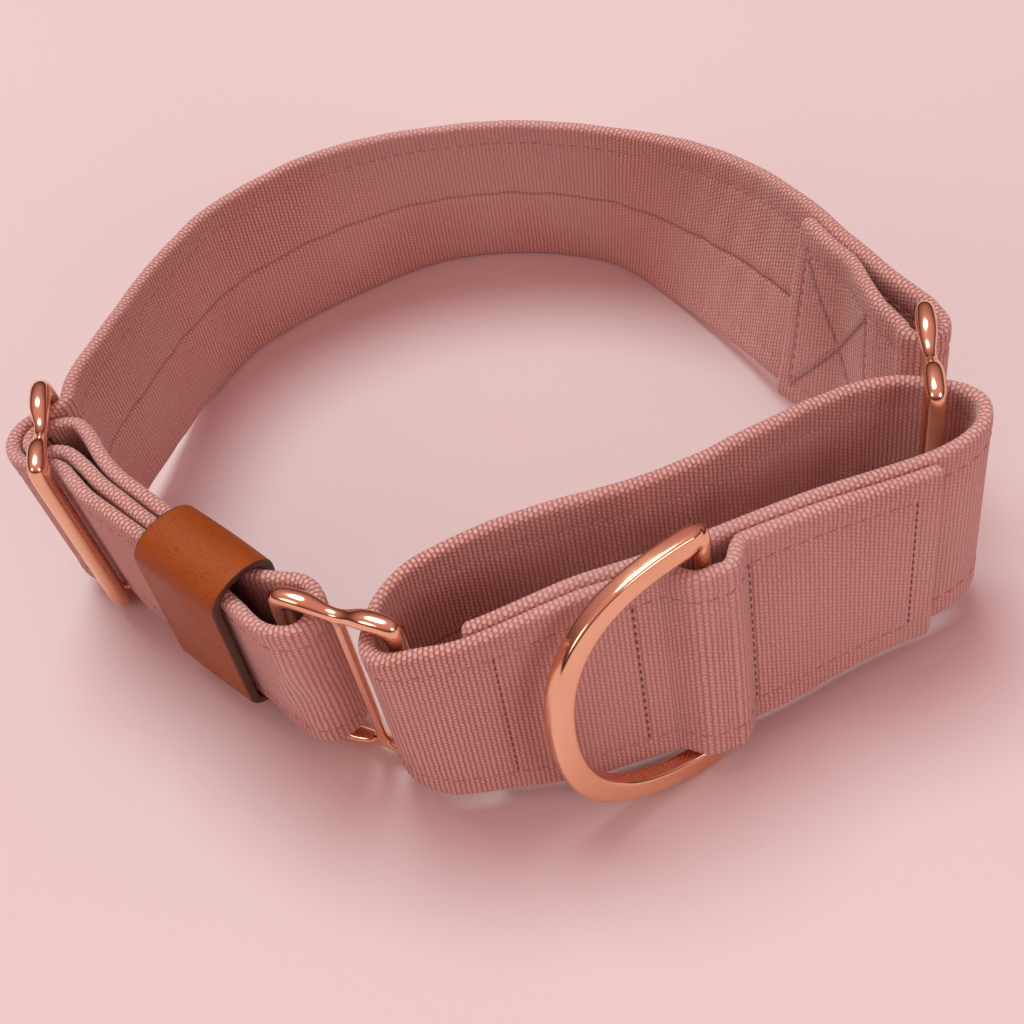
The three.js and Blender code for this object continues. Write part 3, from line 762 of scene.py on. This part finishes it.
loop_piece = strap_mesh("control_loop_webbing", loop, [canvas_loop])
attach(loop_piece, "loop")
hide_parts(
    "loop_inner_layer", "loop_wide_turn", "loop_far_layer", "loop_outer_layer")
loop_stitch = stitch_mesh(
    "loop_topstitching", loop, topstitch_rows(3, loop.length - 4.3), thread_soft)
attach(loop_stitch, "loop")
seam_rows = [((u, -STITCH_IN), (u, STITCH_IN), -1) for u in seam_places]
seam_stitch = stitch_mesh("loop_cross_seams", loop, seam_rows, thread_dark, SEAM_STITCH)
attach(seam_stitch, "loop")
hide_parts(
    "loop_left_seam", "tunnel_left_seam", "tunnel_right_seam", "patch_end_seam")


# ---------- sliders ----------
# Subdivision shrinks a cage, so its outside stands CAGE proud and its depths are a little larger.
CAGE = 0.1
CAGE_ROD = 1.06
CAGE_BAR = 1.15
CAGE_BAR_END = 1.1
SLIDER_LEVELS = 3


def slider_cage():
    """Outside and inside outline of the upper right quarter of a double-window frame, (x, z),
    from the centre bar's end round to the middle of the side rod."""
    top = SLIDER_TALL / 2
    wide = SLIDER_LONG / 2
    side = wide + CAGE
    hole_top = top - WIRE
    hole_side = wide - WIRE
    outer = [(1.5, top - SLIDER_WAIST - 0.2), (3.6, top + CAGE), (wide - 3.0, top + CAGE),
             (wide - 0.5, top - 0.5), (side, top - 3.4), (side, top - 8), (side, 0)]
    inner = [(CENTRE_BAR_WIDE / 2, hole_top - 0.6), (3.4, hole_top - 0.1),
             (hole_side - 1.6, hole_top), (hole_side - 0.4, hole_top - 0.4),
             (hole_side, hole_top - 2), (hole_side, top - 8), (hole_side, 0)]
    return outer, inner


def slider_mesh(name, plan, lean):
    """The whole frame from its quarter outline: four mirrored quarters and the centre bar."""
    outer, inner = slider_cage()
    half = WIRE / 2 * CAGE_ROD
    bar_half = CENTRE_BAR_THICK / 2 * CAGE_BAR
    bar_end = bar_half * CAGE_BAR_END
    points, index, faces = [], {}, []

    def point(x, z, y):
        key = (round(x, 4), round(z, 4), round(y, 4))
        if key not in index:
            index[key] = len(points)
            points.append((x, y, z))
        return index[key]

    def side(quad, deep):
        """Front and back of one plan quad."""
        faces.append([point(x, z, -d) for (x, z), d in zip(quad, deep)])
        faces.append([point(x, z, d) for (x, z), d in zip(quad, deep)][::-1])

    def wall(a, b, da, db):
        faces.append([point(*a, -da), point(*a, da), point(*b, db), point(*b, -db)])

    deep_out = [bar_end] + [half] * (len(outer) - 1)
    deep_in = [bar_half] + [half] * (len(inner) - 1)
    for mx, mz in ((1, 1), (1, -1), (-1, 1), (-1, -1)):
        flip = -1 if mx * mz < 0 else 1
        outs, ins = ([(x * mx, z * mz) for x, z in line] for line in (outer, inner))
        for k in range(len(outs) - 1):
            quad = [outs[k], outs[k + 1], ins[k + 1], ins[k]]
            deep = [deep_out[k], deep_out[k + 1], deep_in[k + 1], deep_in[k]]
            side(quad[::flip], deep[::flip])
            for m in (0, 2):
                pair, depths = quad[m:m + 2][::flip], deep[m:m + 2][::flip]
                wall(*pair, *depths)
    bar, high = inner[0]
    for mz in (1, -1):
        ends = [(-outer[0][0], outer[0][1] * mz), (outer[0][0], outer[0][1] * mz)]
        quad = ends + [(bar, high * mz), (-bar, high * mz)]
        side(quad[::mz], [bar_end, bar_end, bar_half, bar_half][::mz])
        wall(*ends[::mz], bar_end, bar_end)
        levels = [high, high - 2.5, high - 9, 0]
        for z0, z1 in zip(levels, levels[1:]):
            quad = [(-bar, z0 * mz), (bar, z0 * mz), (bar, z1 * mz), (-bar, z1 * mz)]
            side(quad[::mz], [bar_half] * 4)
            for mx in (1, -1):
                rail = [(bar * mx, z0 * mz), (bar * mx, z1 * mz)]
                wall(*rail[::mx * mz], bar_half, bar_half)
    p = np.array(points)
    a = heading(plan["degrees"])
    x = plan["centre"][0] + p[:, 0] * a[0] - p[:, 1] * a[1] + CENTRE[0]
    y = plan["centre"][1] + p[:, 0] * a[1] + p[:, 1] * a[0] + CENTRE[1]
    z = p[:, 2]
    place = np.stack([x, y + lean * z, MID_HEIGHT + z], 1)
    piece = mesh_object(name, place, faces, [gold])
    modifier = piece.modifiers.new("round", "SUBSURF")
    modifier.levels = modifier.render_levels = SLIDER_LEVELS
    return piece


def face_outward(piece):
    work = bmesh.new()
    work.from_mesh(piece.data)
    bmesh.ops.recalc_face_normals(work, faces=work.faces)
    work.to_mesh(piece.data)
    work.free()


for name, node, plan, lean, body in (
        ("adjuster_slider_frame", "adjuster_slider", ADJUSTER, TAB_LEAN, "tab"),
        ("middle_slider_frame", "middle_slider", MIDDLE, MIDDLE_LEAN, "middle"),
        ("loop_slider_frame", "loop_slider", LOOP_SLIDER, 0.0, "loop_end")):
    piece = slider_mesh(name, plan, lean)
    face_outward(piece)
    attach(piece, body)
    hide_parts(node)


# ---------- D-ring ----------
RING_CORNER = 1.9
HOLE_CORNER = 0.5
RING_SIDES = 40
RING_SQUARE = 2 / 5.2  # power that gives the rod a flat face with softly rounded corners
BAR_ZONE = 1.2  # within this of the bar's middle the rod is round


def bezier(points, count):
    """A cubic through its four control points, without its last point."""
    t = np.linspace(0, 1, count, endpoint=False)[:, None]
    p = [np.array(q, float) for q in points]
    return ((1 - t) ** 3 * p[0] + 3 * t * (1 - t) ** 2 * p[1] + 3 * t**2 * (1 - t) * p[2]
            + t**3 * p[3])


def rounded_corner(start, corner, end, count):
    """A quadratic bend, without its last point."""
    t = np.linspace(0, 1, count, endpoint=False)[:, None]
    start, corner, end = (np.array(q, float) for q in (start, corner, end))
    return (1 - t) ** 2 * start + 2 * t * (1 - t) * corner + t**2 * end


def straight(a, b, count):
    t = np.linspace(0, 1, count, endpoint=False)[:, None]
    return np.array(a, float) * (1 - t) + np.array(b, float) * t


def half_moon(depth, half, back, corner):
    """Outline from a straight bar at x = back round a wide arc that reaches x = -depth."""
    reach = half * 0.56
    far = -depth * 0.78
    side = back - corner
    return np.concatenate([
        straight((back, -half + corner), (back, half - corner), 24),
        rounded_corner((back, half - corner), (back, half), (side, half), 8),
        bezier([(side, half), (far, half), (-depth, reach), (-depth, 0)], 48),
        bezier([(-depth, 0), (-depth, -reach), (far, -half), (side, -half)], 48),
        rounded_corner((side, -half), (back, -half), (back, -half + corner), 8)])


def ring_mesh():
    outer = half_moon(RING_DEPTH, RING_TALL / 2, RING_BAR / 2, RING_CORNER)
    inner = half_moon(RING_DEPTH - RING_FACE, RING_TALL / 2 - RING_FACE, -RING_BAR / 2, HOLE_CORNER)
    centre, reach = (outer + inner) / 2, (outer - inner) / 2
    turn = 2 * np.pi * (np.arange(RING_SIDES) + 0.5) / RING_SIDES
    cos, sin = np.cos(turn), np.sin(turn)
    is_bar = (np.abs(centre[:, 0]) < BAR_ZONE)[:, None]
    across = np.where(is_bar, cos, np.sign(cos) * np.abs(cos) ** RING_SQUARE)
    deep = np.where(is_bar, sin, np.sign(sin) * np.abs(sin) ** RING_SQUARE)
    xy = centre[:, None, :] + reach[:, None, :] * across[..., None]
    thick = RING_THICK / 2 * deep
    x, tall = xy[..., 0], xy[..., 1]
    a = heading(RING_SWING)
    px, py = x * a[0] + thick * a[1], x * a[1] - thick * a[0]
    tilt = math.atan(RING_LEAN)
    y = py * math.cos(tilt) + tall * math.sin(tilt)
    z = -py * math.sin(tilt) + tall * math.cos(tilt)
    place = np.stack([px + RING_AXIS[0] + CENTRE[0], y + RING_AXIS[1] + CENTRE[1],
                      z + RING_HEIGHT], -1)
    quads = closed_quads(*place.shape[:2])
    return mesh_object("d_ring_polished", place.reshape(-1, 3), quads, [gold])


ring_piece = ring_mesh()
face_outward(ring_piece)
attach(ring_piece, "ring")
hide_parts("d_ring")


# ---------- leather keeper ----------
def rounded_loop(wide, tall, radius, step):
    """Points round a rounded rectangle, evenly spaced, with their outward directions."""
    x, y = wide / 2 - radius, tall / 2 - radius
    points, outs = [], []
    for cx, cy, start in ((x, y, 0), (-x, y, 90), (-x, -y, 180), (x, -y, 270)):
        for degrees in np.linspace(start, start + 90, 9):
            d = heading(degrees)
            points.append((cx + radius * d[0], cy + radius * d[1]))
            outs.append(d)
    p, o = np.array(points + points[:1]), np.array(outs + outs[:1])
    travelled = np.concatenate([[0], np.cumsum(np.linalg.norm(np.diff(p, axis=0), axis=1))])
    at = np.arange(0, travelled[-1], step)
    line, out = (
        np.stack([np.interp(at, travelled, a[:, k]) for k in (0, 1)], 1) for a in (p, o))
    return line, out / np.linalg.norm(out, axis=1)[:, None]


KEEPER_STEP = 0.6
KEEPER_FLATS = 22  # points along each face of the leather's own section
RIM_DEGREES = (30, 60, 90)
RIM = 0.32  # bevel of the cut edges
CROWN = 0.16
CROWN_DROP = 0.05


def keeper_mesh():
    layers = 3 * STRAP_THICK + 2 * (TAB_PITCH - STRAP_THICK)
    wide = layers + 2 * KEEPER_PLAY + KEEPER_THICK
    tall = STRAP_WIDTH + 2 * KEEPER_PLAY + KEEPER_THICK + 2 * KEEPER_ARCH
    line, out = rounded_loop(wide, tall, KEEPER_ROUND, KEEPER_STEP)
    half = KEEPER_LONG / 2
    r = KEEPER_THICK / 2

    def rim(end, face, degrees):
        t = np.radians(degrees)
        along = end * (half - RIM + RIM * np.sin(t))
        return list(zip(along, face * (r - RIM + RIM * np.cos(t))))

    # (along, out) round the band's own section: its face, one end, its back, the other end.
    flats = np.linspace(-half + RIM, half - RIM, KEEPER_FLATS)
    profile = (
        [(a, r) for a in flats] + rim(1, 1, RIM_DEGREES) + [(half, 0.0)]
        + rim(1, -1, RIM_DEGREES[::-1]) + [(a, -r) for a in flats[::-1]]
        + rim(-1, -1, RIM_DEGREES) + [(-half, 0.0)] + rim(-1, 1, RIM_DEGREES[::-1]))
    along, push = np.array(profile).T
    crown = CROWN * np.cos(along / half * math.pi / 2) - CROWN_DROP
    shift = push[None, :] + crown[None, :] * (push > 0)
    w = line[:, 0, None] + out[:, 0, None] * shift
    h = line[:, 1, None] + out[:, 1, None] * shift
    a = along[None, :] + KEEPER_AT + KEEPER_SKEW * h
    direction = heading(TAB_DEGREES)
    side = np.array([-direction[1], direction[0]])
    base = TAB_START + a[..., None] * direction + (TAB_PITCH + w)[..., None] * side
    place = settle(np.concatenate([base, (MID_HEIGHT + h)[..., None]], -1))
    around, ring = place.shape[:2]
    k = np.tile(np.arange(ring), around)
    end = KEEPER_FLATS + 2 * len(RIM_DEGREES) + 1  # where the back's points start
    in_edge = ((k >= KEEPER_FLATS) & (k < end)) | (k >= end + KEEPER_FLATS)
    return mesh_object(
        "leather_keeper_band", place.reshape(-1, 3), closed_quads(around, ring),
        [leather_material(), leather_edge_material()], indices=in_edge)


keeper_piece = keeper_mesh()
face_outward(keeper_piece)
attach(keeper_piece, "keeper")
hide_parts("leather_keeper")


# ---------- floor and light ----------
FLOOR_REACH = 9000.0
HORIZON = rgb(0.10, 0.035, 0.03)
ZENITH = rgb(1.0, 0.52, 0.53)
HORIZON_HIGH = 0.12  # where the gradient between the two starts and ends, of the way up
ZENITH_HIGH = 0.8
WORLD_STRENGTH = 0.67
LIGHTS = (  # name, place, diameter in metres, watts, colour
    ("overhead", (-200, 420, 1500), 0.85, 16.4, (0.72, 1.0, 0.985)),
    ("front_fill", (700, -900, 620), 0.6, 3.0, (1.0, 0.92, 0.90)),
    ("left_window", (-850, -450, 620), 0.5, 1.7, (1.0, 0.93, 0.86)))
AIM = (0, 0, 20)  # the lights' target


def floor_material():
    n = Nodes("pale_paper")
    place = n.place()
    grain = n.noise(place, 900.0, 3.0, 0.6)
    cloud = n.noise(place, 6.0, 2.0, 0.5)
    colour = n.mix(n.spread(cloud, 0.3, 0.7), PAPER_DARK, PAPER_LIGHT)
    n.set(Base_Color=colour, Normal=n.bump(grain, 0.0001, 0.15))
    n.shader.inputs["Roughness"].default_value = 0.85
    n.shader.inputs["Specular IOR Level"].default_value = 0.2
    return n.material


def add_floor():
    r = FLOOR_REACH
    corners = [(-r, -r, 0), (r, -r, 0), (r, r, 0), (-r, r, 0)]
    floor = mesh_object("floor", corners, [(0, 1, 2, 3)], [floor_material()], smooth=False)


def add_area(name, at, size, power, colour):
    data = bpy.data.lights.new(name, "AREA")
    data.shape = "DISK"
    data.size = size
    data.energy = power
    data.color = colour
    lamp = bpy.data.objects.new(name, data)
    lamp.location = Vector(at) * MM
    aim = Vector(AIM) * MM - lamp.location
    lamp.rotation_euler = aim.to_track_quat("-Z", "Y").to_euler()
    bpy.context.scene.collection.objects.link(lamp)


def add_world():
    world = bpy.data.worlds.new("studio")
    world.use_nodes = True
    tree = world.node_tree
    place = tree.nodes.new("ShaderNodeTexCoord").outputs["Generated"]
    parts = tree.nodes.new("ShaderNodeSeparateXYZ")
    tree.links.new(place, parts.inputs[0])
    shades = tree.nodes.new("ShaderNodeValToRGB")
    for stop, high, colour in zip(
            shades.color_ramp.elements, (HORIZON_HIGH, ZENITH_HIGH), (HORIZON, ZENITH)):
        stop.position = high
        stop.color = colour
    tree.links.new(parts.outputs[2], shades.inputs[0])
    tree.links.new(shades.outputs[0], tree.nodes["Background"].inputs["Color"])
    tree.nodes["Background"].inputs["Strength"].default_value = WORLD_STRENGTH
    bpy.context.scene.world = world


add_floor()
add_world()
for light in LIGHTS:
    add_area(*light)
bpy.context.scene.view_settings.view_transform = "Standard"
